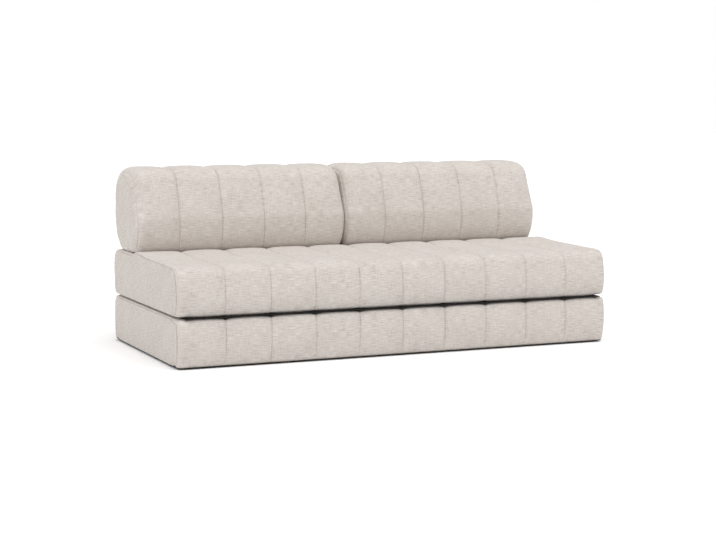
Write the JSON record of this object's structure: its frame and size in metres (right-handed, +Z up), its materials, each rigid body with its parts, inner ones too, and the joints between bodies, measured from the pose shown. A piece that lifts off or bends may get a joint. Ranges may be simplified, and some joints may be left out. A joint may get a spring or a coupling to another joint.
{
  "type": "sofa bed",
  "caption": "Low armless sofa bed: a channel-quilted seat slab hinged at the front to a matching base folds out into a bed, with loose quilted back cushions.",
  "frame": {"origin": "middle of the sofa's footprint on the floor, with the cushions in place", "axes": "+X along the length, to the right seen from the front; +Y towards the rear; +Z up"},
  "size_m": [2, 0.998, 0.7885],
  "materials": {
    "cover_fabric": "matte oatmeal weave",
    "foam": "cut foam",
    "fibre": "soft foam and fibre",
    "timber": "sawn softwood",
    "plywood": "sanded plywood",
    "black_cloth": "black felted cloth",
    "grip_cloth": "dotted non-slip cloth",
    "strap": "black woven webbing",
    "glide": "matte black",
    "steel": "zinc plated",
    "slider": "satin, fabric colour",
    "zip": "woven tape, nylon teeth"
  },
  "bodies": {
    "base": {"glides": "glide", "glide_screws": "steel", "dust_cloth": "black_cloth", "rail_front": "timber", "rail_rear": "timber", "rail_left": "timber", "rail_right": "timber", "cross_rails": "timber", "corner_blocks": "timber", "frame_screws": "steel", "deck_panel": "plywood", "deck_screws": "steel", "base_foam_core": "foam", "base_foam_top": "fibre", "base_cover": "cover_fabric", "base_end_panel_left": "cover_fabric", "base_end_panel_right": "cover_fabric", "hinge_strap_lower": "strap"},
    "seat": {"hinge_strap_upper": "strap", "seat_foam_core": "foam", "seat_foam_top": "fibre", "seat_foam_sleep": "fibre", "seat_cover": "cover_fabric", "seat_underside": "cover_fabric", "seat_end_panel_left": "cover_fabric", "seat_end_panel_right": "cover_fabric", "seat_zip": "zip"},
    "left_cushion": {"left_cushion_core": "foam", "left_cushion_fibre": "fibre", "left_cushion_cover": "cover_fabric", "left_cushion_grip_panel": "grip_cloth", "left_cushion_outer_end": "cover_fabric", "left_cushion_inner_end": "cover_fabric", "left_cushion_zip": "zip"},
    "right_cushion": {"right_cushion_core": "foam", "right_cushion_fibre": "fibre", "right_cushion_cover": "cover_fabric", "right_cushion_grip_panel": "grip_cloth", "right_cushion_outer_end": "cover_fabric", "right_cushion_inner_end": "cover_fabric", "right_cushion_zip": "zip"},
    "seat_slider": {"seat_zip_slider": "slider"},
    "left_slider": {"left_cushion_zip_slider": "slider"},
    "right_slider": {"right_cushion_zip_slider": "slider"}
  },
  "joints": [
    {"name": "seat_fold", "type": "hinge", "parent": "base", "child": "seat", "pos_m": [0, -0.4993, 0.211], "axis": [1, 0, 0], "range_deg": [0, 180]},
    {"name": "left_cushion_lift", "type": "slide", "parent": "seat", "child": "left_cushion", "axis": [0, 0, 1], "range_m": [0, 0.45]},
    {"name": "right_cushion_lift", "type": "slide", "parent": "seat", "child": "right_cushion", "axis": [0, 0, 1], "range_m": [0, 0.45]},
    {"name": "seat_zip_slide", "type": "slide", "parent": "seat", "child": "seat_slider", "axis": [1, 0, 0], "range_m": [0, 1.759]},
    {"name": "left_zip_slide", "type": "slide", "parent": "left_cushion", "child": "left_slider", "axis": [1, 0, 0], "range_m": [0, 0.791]},
    {"name": "right_zip_slide", "type": "slide", "parent": "right_cushion", "child": "right_slider", "axis": [1, 0, 0], "range_m": [0, 0.791]}
  ]
}
